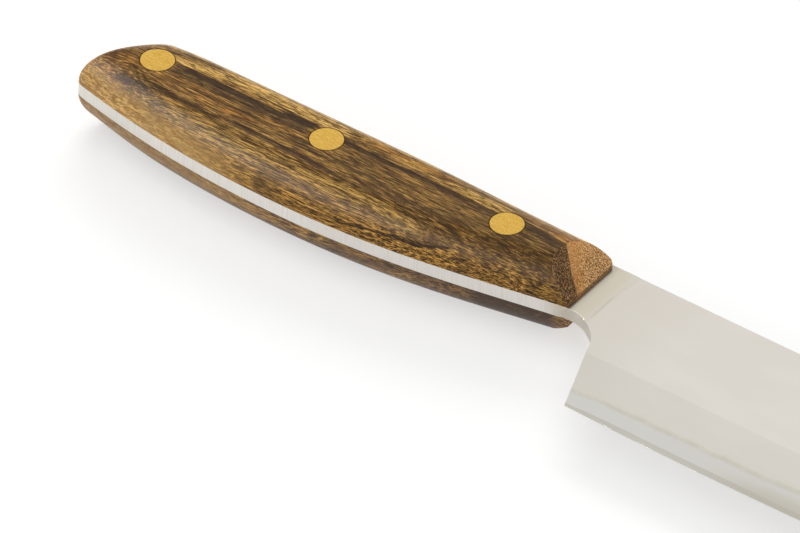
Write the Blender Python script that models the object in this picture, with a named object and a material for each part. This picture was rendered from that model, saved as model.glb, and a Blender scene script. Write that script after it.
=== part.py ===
"""Yanagiba kitchen knife: a single-bevel blade with a full tang, two wooden scales and three cutler's rivets.

The knife lies on its side. Sizes are in metres. In the knife's own frame X runs from the butt to
the tip with zero at the front of the wood, Y runs from the cutting edge to the spine with zero at
the spine, and Z is up with zero in the middle of the tang. The right-hand face, which carries the
bevel, looks up. An empty stands the knife on the flat of its lower scale.
"""

import math

import bmesh
import bpy
import numpy as np
from mathutils import Vector

# Steel blank, seen from above
BLADE_LENGTH = 0.270  # heel corner to tip, along the knife
TANG_THICKNESS = 0.0034
TIP_THICKNESS = 0.0013
HEEL_STATION = 0.0171  # heel corner, ahead of the wood
HEEL_DEPTH = 0.0441  # heel corner, below the spine
EDGE_SWEEP = 0.0011  # how far the edge drops below the heel corner
EDGE_LOW_STATION = 0.071  # where it is lowest
SPINE_DROP = 0.0020  # how far the tip lies below the line of the spine
SPINE_DROP_LENGTH = 0.075
NECK_DEPTH = 0.01874  # height of the neck under the front of the wood
NECK_END = 0.0011
CHOIL_REACH = 0.0113  # where the finger curve turns into the straight heel
CHOIL_DEPTH = 0.0260

# Handle outline, shared by the tang and both scales
HANDLE_LENGTH = 0.1365
BELLY_STATION = 0.073  # deepest place, behind the front of the wood
BELLY_DEPTH = 0.02805
WAIST_STATION = 0.030  # where the belly runs straight towards the neck
WAIST_DEPTH = 0.02425
WAIST_SLOPE = 0.170
BUTT_ROUND = 0.0140  # length over which the spine side rounds into the butt
BUTT_DROP = 0.0187  # rearmost point, below the spine
BUTT_CORNER = 0.0041  # length of the small corner under the butt
BUTT_DEPTH = 0.0211
BUTT_SLOPE = 0.250

# Scales
SCALE_THICKNESS = 0.0085
FAR_SHOULDER = 0.0058  # width of the rounding along the spine side
FAR_SHOULDER_FRONT = 0.0100  # the same at the front of the wood
FAR_SHOULDER_BUTT = 0.0096  # and towards the butt
NEAR_SHOULDER = 0.0077  # width of the rounding along the belly side
NEAR_SHOULDER_FRONT = 0.0085
NEAR_SHOULDER_BUTT = 0.0090
BUTT_SHOULDER = 0.0089  # width of the rounding over the butt end
FRONT_BLEND = 0.055  # lengths over which the roundings widen
BUTT_BLEND = 0.026
FRONT_CORNER = 0.0014  # radius where the front meets the spine side
FRONT_WALL_RIGHT = 0.0010  # upright edge of the wood under the slanted end-grain facet
FRONT_WALL_LEFT = 0.0025
FACET_REACH = 0.0079  # length of the facet

# Rivets, each a headed tube with a headed pin pressed into it
RIVET_DEPTH = 0.0110  # centres below the spine
FRONT_RIVET = 0.0225  # from the front of the wood
MIDDLE_RIVET = 0.0728
REAR_RIVET = 0.0162  # from the butt
HEAD_DIAMETER = 0.0080
HEAD_THICKNESS = 0.0016
TUBE_DIAMETER = 0.0050
PIN_DIAMETER = 0.0030
PIN_TAPER = 0.0004
TUBE_ROOF = 0.0012  # solid metal over the end of the tube's bore

# Grinding of the blade
PLUNGE_STATION = 0.0057  # line where the ground face begins, ahead of the wood
PLUNGE_FLARE = 0.0013  # how far that line leans forward at the spine
PLUNGE_LENGTH = 0.0008
FACE_RELIEF = 0.00012
SHINOGI_DEPTH = 0.0289  # ridge between the flat and the bevel, below the spine
EDGE_STEEL = 0.0003  # steel that the wide bevel leaves at the edge
EDGE_LAND = 0.0001
MICRO_BEVEL = 0.0011
MICRO_BEVEL_LEAD = 0.018  # length over which the small bevel grows from the heel
MICRO_BEVEL_HEEL = 0.15  # share of it at the heel corner
HOLLOW_DEPTH = 0.0004  # hollow of the back face
HOLLOW_START = 0.0240
HOLLOW_LEAD = 0.014
HOLLOW_TIP_RIM = 0.012
SPINE_RIM = 0.0030
EDGE_RIM = 0.0026

# Fits
GLUE_LINE = 0.0003
RIVET_FIT = 0.0003

# Curve handles, each a share of its curve's run
BUTT_LEAVE = 0.41  # where the butt's curve leaves the line of the spine
BUTT_ARRIVE = 0.22  # where it reaches the rearmost point
CORNER_IN = 0.7
CORNER_OUT = 0.5
NECK_ARRIVE = 0.2
CHOIL_LEAVE = 0.4
CHOIL_ARRIVE = 0.5
EDGE_SAG = 0.65
EDGE_STRAIGHT = 0.55  # straight part of the edge, ahead of its lowest point
EDGE_TIP_RUN = 0.13
EDGE_TIP_DROP = 0.62
SHINOGI_STRAIGHT = 0.50
SHINOGI_TIP_RUN = 0.17
SHINOGI_TIP_DROP = 0.56
SPINE_STRAIGHT = 0.5
SPINE_TIP_RUN = 0.1
SPINE_TIP_DROP = 0.8
BUTT_LAND_POWER = 1.5  # how suddenly the flat of the scale ends towards the butt
TIP_CROWDING = 1.5  # how much closer the grinding sections lie at the tip
HOLLOW_OVERSHOOT = 1.08  # the hollow's tool reaches this much past its rims
HOLLOW_RISE = 0.1  # share of its depth by which it starts clear of the steel

# Fineness of curves
OVERRUN = 0.006  # how far a cutter reaches past what it cuts
GRIND_START = 0.0004  # how far above its ridge a grinding tool begins
WELD = 1e-6
CREASE_DEGREES = 30  # edges sharper than this stay sharp
TURN_STEPS = 40
CORNER_STEPS = 6
SIDE_STEPS = 12
CURVE_STEPS = 14
BUTT_STEPS = 20
BLADE_STEPS = 36
SHOULDER_STEPS = 9
GRIND_STEPS = 70
HOLLOW_STEPS = 26
HOLLOW_ARC = 8

TIP_STATION = HEEL_STATION + BLADE_LENGTH
HALF_TANG = TANG_THICKNESS / 2
HALF_HANDLE = HALF_TANG + SCALE_THICKNESS
TIP = (TIP_STATION, -SPINE_DROP)
HEEL = (HEEL_STATION, -HEEL_DEPTH)


def clear_scene():
    for thing in list(bpy.data.objects):
        bpy.data.objects.remove(thing, do_unlink=True)


def finish(name, colour, metallic, roughness):
    """A plain finish with one colour, given as linear red, green and blue."""
    material = bpy.data.materials.new(name)
    material.use_nodes = True
    shader = material.node_tree.nodes["Principled BSDF"]
    shader.inputs["Base Color"].default_value = (*colour, 1.0)
    shader.inputs["Metallic"].default_value = metallic
    shader.inputs["Roughness"].default_value = roughness
    material.diffuse_color = (*colour, 1.0)
    return material


def bezier(start, leave, arrive, end, steps):
    """Points of a cubic curve from start to end, without start itself."""
    points = []
    for step in range(1, steps + 1):
        t = step / steps
        weights = ((1 - t) ** 3, 3 * (1 - t) ** 2 * t, 3 * (1 - t) * t**2, t**3)
        x, y = np.dot(weights, np.array((start, leave, arrive, end)))
        points.append((float(x), float(y)))
    return points


def height_at(points, x):
    """Y of a curve whose X grows steadily, continued level past its ends."""
    xs, ys = zip(*points)
    return float(np.interp(x, xs, ys))


def ease(value):
    """Smooth rise from 0 to 1."""
    value = min(max(value, 0.0), 1.0)
    return value * value * (3 - 2 * value)


def butt_curve():
    """From the spine side round the butt to the start of the belly."""
    start = (-HANDLE_LENGTH + BUTT_ROUND, 0.0)
    rear = (-HANDLE_LENGTH, -BUTT_DROP)
    corner = (-HANDLE_LENGTH + BUTT_CORNER, -BUTT_DEPTH)
    leave = (start[0] - BUTT_LEAVE * BUTT_ROUND, 0.0)
    arrive = (rear[0], rear[1] + BUTT_ARRIVE * BUTT_DROP)
    turn_in = (rear[0], rear[1] - CORNER_IN * (BUTT_DEPTH - BUTT_DROP))
    turn_back = CORNER_OUT * BUTT_CORNER
    turn_out = (corner[0] - turn_back, corner[1] + turn_back * BUTT_SLOPE)
    rounding = bezier(start, leave, arrive, rear, BUTT_STEPS)
    return [start] + rounding + bezier(rear, turn_in, turn_out, corner, CORNER_STEPS)


def belly_curve():
    """From the corner under the butt along the belly to the neck, growing in X."""
    corner = (-HANDLE_LENGTH + BUTT_CORNER, -BUTT_DEPTH)
    belly = (-BELLY_STATION, -BELLY_DEPTH)
    waist = (-WAIST_STATION, -WAIST_DEPTH)
    neck = (NECK_END, -NECK_DEPTH)
    rear_third = (belly[0] - corner[0]) / 3
    front_third = (waist[0] - belly[0]) / 3
    neck_half = (neck[0] - waist[0]) / 2
    points = [corner]
    points += bezier(
        corner,
        (corner[0] + rear_third, corner[1] - BUTT_SLOPE * rear_third),
        (belly[0] - rear_third, belly[1]),
        belly,
        CURVE_STEPS,
    )
    points += bezier(
        belly,
        (belly[0] + front_third, belly[1]),
        (waist[0] - front_third, waist[1] - WAIST_SLOPE * front_third),
        waist,
        CURVE_STEPS,
    )
    points += bezier(
        waist,
        (waist[0] + neck_half, waist[1] + WAIST_SLOPE * neck_half),
        (neck[0] - NECK_ARRIVE * neck_half, neck[1]),
        neck,
        CURVE_STEPS,
    )
    return points


def choil_curve():
    """Finger curve from the neck to the straight heel."""
    start = (NECK_END, -NECK_DEPTH)
    end = (CHOIL_REACH, -CHOIL_DEPTH)
    heel_run = Vector((HEEL[0] - end[0], HEEL[1] - end[1])).normalized()
    reach = end[0] - start[0]
    drop = start[1] - end[1]
    leave = (start[0] + CHOIL_LEAVE * reach, start[1])
    back = CHOIL_ARRIVE * drop
    arrive = (end[0] - back * heel_run.x, end[1] - back * heel_run.y)
    return bezier(start, leave, arrive, end, CURVE_STEPS)


def edge_curve():
    """Cutting edge from the heel corner to the tip, growing in X."""
    low = (EDGE_LOW_STATION, -(HEEL_DEPTH + EDGE_SWEEP))
    first = (low[0] - HEEL[0]) / 3
    second = TIP[0] - low[0]
    points = [HEEL]
    leave = (HEEL[0] + first, HEEL[1] - EDGE_SAG * EDGE_SWEEP)
    points += bezier(HEEL, leave, (low[0] - first, low[1]), low, CURVE_STEPS)
    points += bezier(
        low,
        (low[0] + EDGE_STRAIGHT * second, low[1]),
        (TIP[0] - EDGE_TIP_RUN * second, TIP[1] + EDGE_TIP_DROP * (low[1] - TIP[1])),
        TIP,
        BLADE_STEPS,
    )
    return points


def shinogi_curve():
    """Ridge line from behind the heel to the tip, growing in X."""
    start = (CHOIL_REACH - OVERRUN, -SHINOGI_DEPTH)
    level = (EDGE_LOW_STATION, -SHINOGI_DEPTH)
    run = TIP[0] - level[0]
    rise = TIP[1] - level[1]
    bend = bezier(
        level,
        (level[0] + SHINOGI_STRAIGHT * run, level[1]),
        (TIP[0] - SHINOGI_TIP_RUN * run, TIP[1] - SHINOGI_TIP_DROP * rise),
        TIP,
        BLADE_STEPS,
    )
    return [start, level] + bend


def spine_curve():
    """Spine from the tip back to the start of the butt's rounding."""
    start = (TIP[0] - SPINE_DROP_LENGTH, 0.0)
    leave = (start[0] + SPINE_STRAIGHT * SPINE_DROP_LENGTH, 0.0)
    arrive = (TIP[0] - SPINE_TIP_RUN * SPINE_DROP_LENGTH, TIP[1] * SPINE_TIP_DROP)
    drop = bezier(start, leave, arrive, TIP, CURVE_STEPS)
    return drop[-2::-1] + [start]


def blank_outline():
    """The whole steel blank, once round from the tip."""
    return [TIP] + spine_curve() + butt_curve() + belly_curve()[1:] + choil_curve() + edge_curve()[:-1]


def wood_outline():
    """Outline of the wood, once round from the near front corner, the tang's own up to the front."""
    belly = belly_curve()
    near_front = height_at(belly, 0.0)
    rise = -FRONT_CORNER - near_front
    front = [(0.0, near_front + rise * step / CORNER_STEPS) for step in range(CORNER_STEPS + 1)]
    corner = []
    for step in range(1, CORNER_STEPS + 1):
        angle = 0.5 * math.pi * step / CORNER_STEPS
        corner.append((FRONT_CORNER * (math.cos(angle) - 1), FRONT_CORNER * (math.sin(angle) - 1)))
    butt = butt_curve()
    run = butt[0][0] + FRONT_CORNER
    side = [(-FRONT_CORNER + run * step / SIDE_STEPS, 0.0) for step in range(1, SIDE_STEPS)]
    under = [point for point in belly[1:] if point[0] < -WELD]
    return front + corner + side + butt + under


def land_point(point):
    """Where a point of the wood's outline lands on the flat of the scale."""
    x, y = point
    depth = -height_at(belly_curve(), x)
    to_front = ease(1 + x / FRONT_BLEND)
    to_butt = max(1 - (x + HANDLE_LENGTH) / BUTT_BLEND, 0.0)
    far = FAR_SHOULDER + (FAR_SHOULDER_FRONT - FAR_SHOULDER) * to_front
    far += (FAR_SHOULDER_BUTT - FAR_SHOULDER) * ease(to_butt)
    near = NEAR_SHOULDER + (NEAR_SHOULDER_FRONT - NEAR_SHOULDER) * to_front
    near += (NEAR_SHOULDER_BUTT - NEAR_SHOULDER) * ease(to_butt)
    across = min(-y / depth, 1.0)
    return x + BUTT_SHOULDER * to_butt**BUTT_LAND_POWER, -far - across * (depth - far - near)


def new_mesh_object(name, mesh_data, material=None):
    """Puts a finished bmesh in the scene as an object."""
    mesh = bpy.data.meshes.new(name)
    mesh_data.to_mesh(mesh)
    mesh_data.free()
    thing = bpy.data.objects.new(name, mesh)
    bpy.context.scene.collection.objects.link(thing)
    if material:
        mesh.materials.append(material)
    return thing


def loft(rings):
    """A closed bmesh through rings of equal count, capped at both ends."""
    shape = bmesh.new()
    loops = []
    for ring in rings:
        corners = [shape.verts.new(point) for point in ring]
        loops.append([shape.edges.new(pair) for pair in zip(corners, corners[1:] + corners[:1])])
    for first, second in zip(loops, loops[1:]):
        bmesh.ops.bridge_loops(shape, edges=first + second)
    for ending in (loops[0], loops[-1]):
        bmesh.ops.contextual_create(shape, geom=ending)
    bmesh.ops.recalc_face_normals(shape, faces=shape.faces)
    return shape


def turned(name, profile, material=None):
    """A round piece from radius and height pairs, top to bottom, that starts and ends on its axis."""
    shape = bmesh.new()
    corners = [shape.verts.new((radius, 0.0, height)) for radius, height in profile]
    edges = [shape.edges.new(pair) for pair in zip(corners, corners[1:])]
    bmesh.ops.spin(
        shape,
        geom=corners + edges,
        axis=(0, 0, 1),
        cent=(0, 0, 0),
        angle=math.tau,
        steps=TURN_STEPS,
        use_merge=True,
    )
    bmesh.ops.remove_doubles(shape, verts=shape.verts, dist=WELD)
    bmesh.ops.recalc_face_normals(shape, faces=shape.faces)
    return new_mesh_object(name, shape, material)


def boolean(thing, tool, operation="DIFFERENCE"):
    """Cuts or trims an object with a tool that isn't part of the knife."""
    tool.hide_render = True
    tool.display_type = "WIRE"
    modifier = thing.modifiers.new(f"{operation.lower()} {tool.name}", "BOOLEAN")
    modifier.operation = operation
    modifier.object = tool
    modifier.solver = "EXACT"


def shade(thing):
    """Smooth shading with the creases kept."""
    thing.data.shade_smooth()
    thing.data.set_sharp_from_angle(angle=math.radians(CREASE_DEGREES))


def handle_block():
    """The whole handle as it is shaped in one go, wood, tang and rivets together."""
    outline = wood_outline()
    land = [land_point(point) for point in outline]
    rings = []
    for side in (-1, 1):
        steps = range(SHOULDER_STEPS + 1)
        for step in steps if side > 0 else reversed(steps):
            angle = 0.5 * math.pi * step / SHOULDER_STEPS
            inward = 1 - math.cos(angle)
            height = side * (HALF_TANG + SCALE_THICKNESS * math.sin(angle))
            rings.append(
                [
                    (x + (u - x) * inward, y + (v - y) * inward, height)
                    for (x, y), (u, v) in zip(outline, land)
                ]
            )
    block = loft(rings)
    for side, wall in ((1, FRONT_WALL_RIGHT), (-1, FRONT_WALL_LEFT)):
        cut = bmesh.ops.bisect_plane(
            block,
            geom=block.verts[:] + block.edges[:] + block.faces[:],
            plane_co=(0, 0, side * (HALF_TANG + wall)),
            plane_no=(SCALE_THICKNESS - wall, 0, side * FACET_REACH),
            clear_outer=True,
        )
        rim = [item for item in cut["geom_cut"] if isinstance(item, bmesh.types.BMEdge)]
        bmesh.ops.contextual_create(block, geom=rim)
    return block


def scale(name, side, material, tools):
    """One wooden scale: the handle block sawn off at the tang, then bored for the rivets."""
    block = handle_block()
    cut = bmesh.ops.bisect_plane(
        block,
        geom=block.verts[:] + block.edges[:] + block.faces[:],
        plane_co=(0, 0, side * (HALF_TANG + GLUE_LINE)),
        plane_no=(0, 0, side),
        clear_inner=True,
    )
    rim = [item for item in cut["geom_cut"] if isinstance(item, bmesh.types.BMEdge)]
    bmesh.ops.contextual_create(block, geom=rim)
    bmesh.ops.recalc_face_normals(block, faces=block.faces)
    piece = new_mesh_object(name, block, material)
    for tool in tools:
        boolean(piece, tool)
    shade(piece)
    return piece


def rivet_places():
    """Centres of the three rivets with the name of each."""
    stations = {
        "front": -FRONT_RIVET,
        "middle": -MIDDLE_RIVET,
        "rear": -HANDLE_LENGTH + REAR_RIVET,
    }
    return {name: Vector((x, -RIVET_DEPTH, 0.0)) for name, x in stations.items()}


def rivet_bore(name, place):
    """Hole for a rivet's tube through wood and steel, widened at both ends for the heads."""
    tube = TUBE_DIAMETER / 2 + RIVET_FIT
    head = HEAD_DIAMETER / 2 + RIVET_FIT
    seat = HALF_HANDLE - HEAD_THICKNESS - RIVET_FIT
    top = HALF_HANDLE + OVERRUN
    profile = [(0, top), (head, top), (head, seat), (tube, seat)]
    profile += [(radius, -height) for radius, height in reversed(profile)]
    tool = turned(f"bore_{name}", profile)
    tool.location = place
    return tool


def rivet(name, place, material, block):
    """A rivet's two halves, trimmed flush with the wood."""
    head = HEAD_DIAMETER / 2
    tube = TUBE_DIAMETER / 2
    pin = PIN_DIAMETER / 2
    bore = pin + RIVET_FIT
    top = HALF_HANDLE + OVERRUN
    under = HALF_HANDLE - HEAD_THICKNESS
    tube_end = -under + RIVET_FIT
    roof = under - TUBE_ROOF
    tube_profile = [
        (0, top),
        (head, top),
        (head, under),
        (tube, under),
        (tube, tube_end),
        (bore, tube_end),
        (bore, roof),
        (0, roof),
    ]
    pin_end = roof - RIVET_FIT
    pin_profile = [
        (0, pin_end),
        (pin - PIN_TAPER, pin_end),
        (pin, pin_end - 2 * PIN_TAPER),
        (pin, -under),
        (head, -under),
        (head, -top),
        (0, -top),
    ]
    halves = []
    for half, profile in (("tube", tube_profile), ("pin", pin_profile)):
        piece = turned(f"rivet_{name}_{half}", profile, material)
        piece.location = place
        boolean(piece, block, "INTERSECT")
        shade(piece)
        halves.append(piece)
    return halves


def face_height(x):
    """Height of the blade's ground face, which thins towards the tip."""
    start = HALF_TANG - FACE_RELIEF
    end = TIP_THICKNESS - HALF_TANG
    return start + (end - start) * (x - PLUNGE_STATION) / (TIP[0] - PLUNGE_STATION)


def face_tool():
    """Takes the taper off the blade's upper face, ahead of the plunge line."""
    ahead = TIP[0] + OVERRUN
    rings = []
    for y, lean in ((OVERRUN, PLUNGE_FLARE), (-RIVET_DEPTH, 0.0), (-HEEL_DEPTH - OVERRUN, 0.0)):
        plunge = PLUNGE_STATION + lean
        foot = plunge + PLUNGE_LENGTH
        lift = OVERRUN * FACE_RELIEF / PLUNGE_LENGTH
        rings.append(
            [
                (plunge - OVERRUN, y, HALF_TANG + lift),
                (plunge, y, HALF_TANG),
                (foot, y, face_height(foot)),
                (ahead, y, face_height(ahead)),
                (ahead, y, HALF_TANG + OVERRUN),
                (plunge - OVERRUN, y, HALF_TANG + OVERRUN),
            ]
        )
    return new_mesh_object("face_tool", loft(rings))


def grind_stations():
    """X of the sections of the bevels, closer together towards the tip."""
    start = CHOIL_REACH - 0.5 * OVERRUN
    run = TIP[0] - start
    shares = [1 - (1 - step / GRIND_STEPS) ** TIP_CROWDING for step in range(GRIND_STEPS)]
    return [start + run * share for share in shares] + [TIP[0], TIP[0] + GRIND_START]


def bevel_line(x):
    """Ridge and edge of the wide bevel in one section, as depth and height pairs."""
    ridge = height_at(shinogi_curve(), x)
    edge = height_at(edge_curve(), x)
    least = 2 * MICRO_BEVEL
    if ridge - edge < least:
        ridge = edge + least
    return Vector((ridge, face_height(x))), Vector((edge, -HALF_TANG + EDGE_STEEL))


def grinding_tool(name, line_at):
    """Takes off all steel above a line that each section gives by two points."""
    ceiling = HALF_TANG + OVERRUN
    rings = []
    for x in grind_stations():
        high, low = line_at(x)
        run = (high - low).normalized()
        high = high + run * GRIND_START
        low = low - run * OVERRUN
        rings.append([(x, low.x, low.y), (x, high.x, high.y), (x, high.x, ceiling), (x, low.x, ceiling)])
    return new_mesh_object(name, loft(rings))


def micro_line(x):
    """Start and edge of the small bevel in one section, its angle the same wherever it is narrower."""
    ridge, edge = bevel_line(x)
    wide_bevel = (ridge - edge) / (ridge.x - edge.x)
    steeper = edge + wide_bevel * MICRO_BEVEL - Vector((edge.x, -HALF_TANG + EDGE_LAND))
    growth = MICRO_BEVEL_HEEL + (1 - MICRO_BEVEL_HEEL) * ease((x - HEEL[0]) / MICRO_BEVEL_LEAD)
    start = edge + wide_bevel * MICRO_BEVEL * growth
    return start, start - steeper * growth


def hollow_tool():
    """Grinds the shallow hollow of the back face, between a rim at the spine and one at the edge."""
    widest = HEEL_DEPTH + EDGE_SWEEP - SPINE_RIM - EDGE_RIM
    wheel = widest**2 / (8 * HOLLOW_DEPTH)
    floor = -HALF_TANG - OVERRUN
    end = TIP[0] - HOLLOW_TIP_RIM
    rings = []
    for step in range(HOLLOW_STEPS + 1):
        x = HOLLOW_START + (end - HOLLOW_START) * step / HOLLOW_STEPS
        low = height_at(edge_curve(), x) + EDGE_RIM
        width = -SPINE_RIM - low
        lead = min((x - HOLLOW_START) / HOLLOW_LEAD, 1.0)
        depth = width**2 / (8 * wheel) * ((1 + HOLLOW_RISE) * math.sin(0.5 * math.pi * lead) - HOLLOW_RISE)
        ring = []
        for part in range(HOLLOW_ARC + 1):
            share = HOLLOW_OVERSHOOT * (2 * part / HOLLOW_ARC - 1)
            ring.append((x, low + 0.5 * width * (1 + share), -HALF_TANG + depth * (1 - share**2)))
        ring += [(x, ring[-1][1], floor), (x, ring[0][1], floor)]
        rings.append(ring)
    return new_mesh_object("hollow_tool", loft(rings))


def blade(material, bores):
    """Blade and tang: a blank cut to the outline, ground, hollowed behind and drilled."""
    blank = bmesh.new()
    corners = [blank.verts.new((x, y, -HALF_TANG)) for x, y in blank_outline()]
    underside = blank.faces.new(corners)
    sides = bmesh.ops.extrude_face_region(blank, geom=[underside])
    raised = [item for item in sides["geom"] if isinstance(item, bmesh.types.BMVert)]
    bmesh.ops.translate(blank, verts=raised, vec=(0, 0, TANG_THICKNESS))
    bmesh.ops.recalc_face_normals(blank, faces=blank.faces)
    piece = new_mesh_object("blade_with_tang", blank, material)
    wide_bevel = grinding_tool("bevel_tool", bevel_line)
    micro_bevel = grinding_tool("micro_bevel_tool", micro_line)
    for tool in [face_tool(), wide_bevel, micro_bevel, hollow_tool()] + bores:
        boolean(piece, tool)
    return piece


def main():
    clear_scene()
    steel = finish("satin ground steel", (0.62, 0.60, 0.57), 1.0, 0.32)
    wood = finish("oiled bocote wood", (0.20, 0.10, 0.035), 0.0, 0.45)
    brass = finish("sanded brass", (0.66, 0.42, 0.10), 1.0, 0.35)

    places = rivet_places()
    bores = [rivet_bore(name, place) for name, place in places.items()]
    block = new_mesh_object("handle_block", handle_block())

    pieces = [
        blade(steel, bores),
        scale("right_scale", 1, wood, bores),
        scale("left_scale", -1, wood, bores),
    ]
    for name, place in places.items():
        pieces += rivet(name, place, brass, block)

    knife = bpy.data.objects.new("knife", None)
    bpy.context.scene.collection.objects.link(knife)
    middle_x = (TIP[0] - HANDLE_LENGTH) / 2
    middle_y = -(HEEL_DEPTH + EDGE_SWEEP) / 2
    knife.location = (-middle_x, -middle_y, HALF_HANDLE)
    for thing in pieces + bores + [block]:
        thing.parent = knife
    for tool_name in ("face_tool", "bevel_tool", "micro_bevel_tool", "hollow_tool"):
        bpy.data.objects[tool_name].parent = knife


main()
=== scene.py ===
"""Dresses the yanagiba knife: ground steel, oiled bocote scales and flush brass rivets, in a pale studio.

Lengths are in metres in the shapes, and in millimetres in the finishes, whose patterns are laid out
in the knife's own frame: X from the butt to the tip with zero at the front of the wood, Y from the
cutting edge to the spine with zero at the spine, and Z up with zero in the middle of the tang.
"""

from __future__ import annotations

import logging
import math
from collections.abc import Iterable
from dataclasses import dataclass
from enum import Enum
from functools import partial

import bmesh
import bpy
import numpy as np
from mathutils import Matrix, Vector

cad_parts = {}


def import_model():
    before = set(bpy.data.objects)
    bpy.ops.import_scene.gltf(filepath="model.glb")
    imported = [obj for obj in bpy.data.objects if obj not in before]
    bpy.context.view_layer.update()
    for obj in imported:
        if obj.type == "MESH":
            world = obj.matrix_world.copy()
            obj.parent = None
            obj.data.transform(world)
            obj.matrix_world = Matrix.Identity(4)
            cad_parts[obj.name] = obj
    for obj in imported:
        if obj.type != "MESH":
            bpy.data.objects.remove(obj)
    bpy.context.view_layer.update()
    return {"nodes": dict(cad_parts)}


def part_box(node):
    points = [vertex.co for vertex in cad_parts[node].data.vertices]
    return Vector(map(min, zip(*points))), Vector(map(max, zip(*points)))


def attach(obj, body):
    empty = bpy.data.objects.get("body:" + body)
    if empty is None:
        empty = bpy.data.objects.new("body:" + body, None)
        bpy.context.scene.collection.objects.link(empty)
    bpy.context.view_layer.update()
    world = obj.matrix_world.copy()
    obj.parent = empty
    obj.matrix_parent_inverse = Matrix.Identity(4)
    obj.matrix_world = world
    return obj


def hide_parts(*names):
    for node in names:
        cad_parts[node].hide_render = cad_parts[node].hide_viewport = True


LOG = logging.getLogger("yanagiba")
MM = 1000.0
WELD = 1e-6
FLAT = 0.05  # degrees, under which two facets of a packed form are one
CREASE = 30.0  # degrees, over which an edge stays sharp
WHITE = (1.0, 1.0, 1.0, 1.0)
RIVETS = (-22.5, -72.8, -120.3)  # stations of their middles, in mm
RIVET_DEPTH = 11.0  # mm below the spine

# Settings that many nodes share
SMOOTH = {"interpolation_type": "SMOOTHSTEP"}
TIMES = {"operation": "MULTIPLY"}
TIMES_PLUS = {"operation": "MULTIPLY_ADD"}
PLUS = {"operation": "ADD"}
MINUS = {"operation": "SUBTRACT"}
SIZE_OF = {"operation": "ABSOLUTE"}
GREATER = {"operation": "MAXIMUM"}
LESSER = {"operation": "MINIMUM"}

Point = tuple[float, float]
Span = tuple[float, float]
Floats = tuple[float, ...]
Socket = bpy.types.NodeSocket
Tree = bpy.types.NodeTree
Piece = bpy.types.Object
Finish = bpy.types.Material
Shape = bmesh.types.BMesh
Edges = list[bmesh.types.BMEdge]


class Side(Enum):
    """The two faces of the knife, by the way each looks."""

    RIGHT = 1  # up
    LEFT = -1  # down


# Small tools


def linear(code: str) -> tuple[float, float, float, float]:
    """Turns an sRGB colour into the linear one that a shader takes.

    Args:
        code: Colour as #rrggbb.

    Returns:
        Red, green, blue and an alpha of 1.
    """
    channels = []
    for start in (1, 3, 5):
        value = int(code[start : start + 2], 16) / 255
        channels.append(value / 12.92 if value <= 0.04045 else ((value + 0.055) / 1.055) ** 2.4)
    return (*channels, 1.0)


def add_node(
    tree: Tree,
    kind: str,
    inputs: Iterable | dict = (),
    output: int | str = 0,
    **settings: str | bool,
) -> Socket:
    """Adds a node with its settings and links.

    Args:
        tree: Node tree of a material or the world.
        kind: Blender's name of the node type after ShaderNode.
        inputs: Value or output socket for each input in turn, or by number or name. A Mix node has
            its factor at 0, its values at 2 and 3, and its colours at 6 and 7, mixed at output 2.
        output: Which output to hand back, by number or name.
        settings: Attributes of the node.

    Returns:
        That output.
    """
    node = tree.nodes.new(f"ShaderNode{kind}")
    for name, value in settings.items():
        setattr(node, name, value)
    for key, value in inputs.items() if isinstance(inputs, dict) else enumerate(inputs):
        if isinstance(value, Socket):
            tree.links.new(value, node.inputs[key])
        else:
            node.inputs[key].default_value = value
    return node.outputs[output]


def ease(value: float) -> float:
    """Smooth rise from 0 to 1."""
    value = min(max(value, 0.0), 1.0)
    return value * value * (3 - 2 * value)


def bezier(start: Point, leave: Point, arrive: Point, end: Point, steps: int) -> list[Point]:
    """Points of a cubic curve, without its first one.

    Args:
        start: Where it begins.
        leave: Handle that it leaves towards.
        arrive: Handle that it arrives from.
        end: Where it ends.
        steps: Number of points.

    Returns:
        The points after start, with end.
    """
    points = []
    for step in range(1, steps + 1):
        t = step / steps
        weights = ((1 - t) ** 3, 3 * (1 - t) ** 2 * t, 3 * (1 - t) * t**2, t**3)
        x, y = np.dot(weights, np.array((start, leave, arrive, end)))
        points.append((float(x), float(y)))
    return points


def height_at(points: list[Point], x: float) -> float:
    """Y at one X of a curve whose X grows steadily."""
    xs, ys = zip(*points)
    return float(np.interp(x, xs, ys))


def new_object(name: str, shape: Shape, material: Finish) -> Piece:
    """Puts a finished bmesh in the scene.

    Args:
        name: Its name.
        shape: The mesh, in its place in the frame. It is freed.
        material: Its finish.

    Returns:
        The object, at the origin.
    """
    mesh = bpy.data.meshes.new(name)
    shape.to_mesh(mesh)
    shape.free()
    mesh.materials.append(material)
    piece = bpy.data.objects.new(name, mesh)
    bpy.context.scene.collection.objects.link(piece)
    return piece


def round_edges(shape: Shape, edges: Edges, width: float, clamp: bool, segments: int = 2) -> None:
    """Rounds edges of a mesh.

    Args:
        shape: The mesh.
        edges: Which of its edges.
        width: How far the rounding reaches to each side.
        clamp: Whether it is held back where another edge is near.
        segments: Facets across the rounding.
    """
    bmesh.ops.bevel(
        shape,
        geom=edges,
        offset=width,
        offset_type="OFFSET",
        segments=segments,
        profile=0.5,
        affect="EDGES",
        clamp_overlap=clamp,
        material=-1,
    )


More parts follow.
